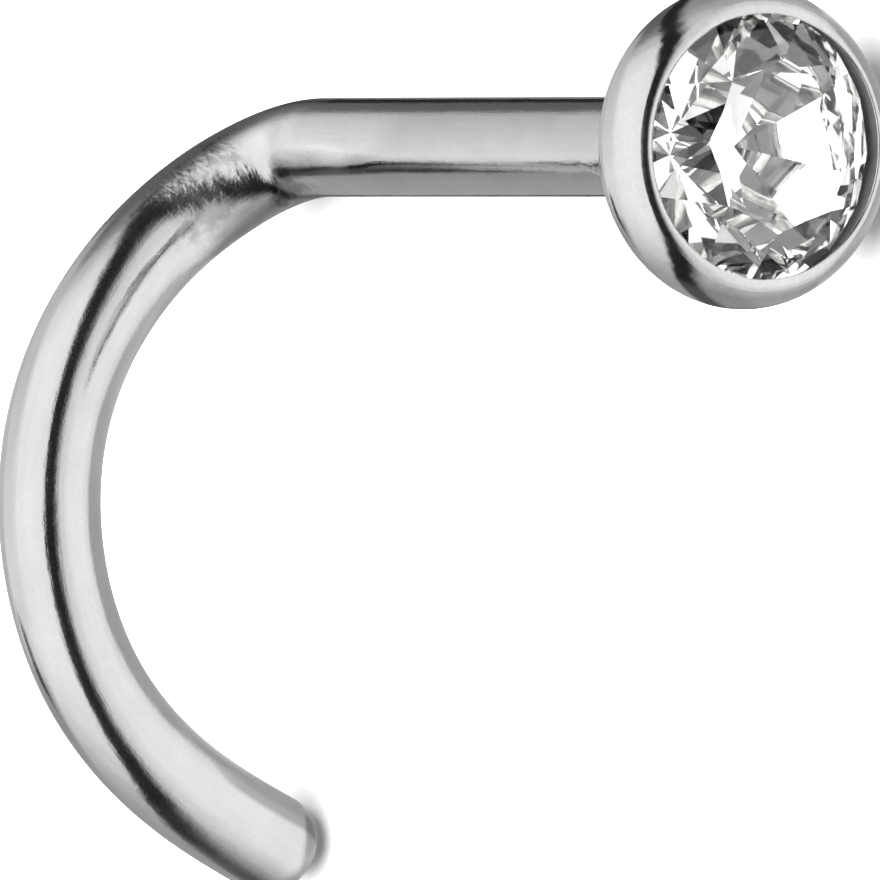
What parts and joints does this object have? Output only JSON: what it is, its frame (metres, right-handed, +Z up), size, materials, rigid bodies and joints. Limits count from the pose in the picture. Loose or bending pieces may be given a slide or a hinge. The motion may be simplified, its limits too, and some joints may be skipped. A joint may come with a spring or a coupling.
{
  "type": "nose stud",
  "caption": "Nose stud: a clear round stone in a bezel cup on a straight wire post that turns a tight knee into an open C-shaped hook, lying on its side.",
  "frame": {"origin": "on the surface the stud lies on, under the middle of its bounding box", "axes": "+Z up as it lies on the rim of the cup, the knee and the tail of the hook; +X along the post's horizontal direction, from the knee to the stone; the hook reaches towards -Y"},
  "size_m": [0.008, 0.0072, 0.0028],
  "materials": {
    "steel": "polished surgical steel, with fine polishing lines, plier marks at the knee and small solder pits by the cup",
    "stone": "clear, colourless, round brilliant cut, polished facets with a silvered back"
  },
  "bodies": {
    "root": {"wire_and_setting": "steel", "stone": "stone"}
  },
  "joints": []
}
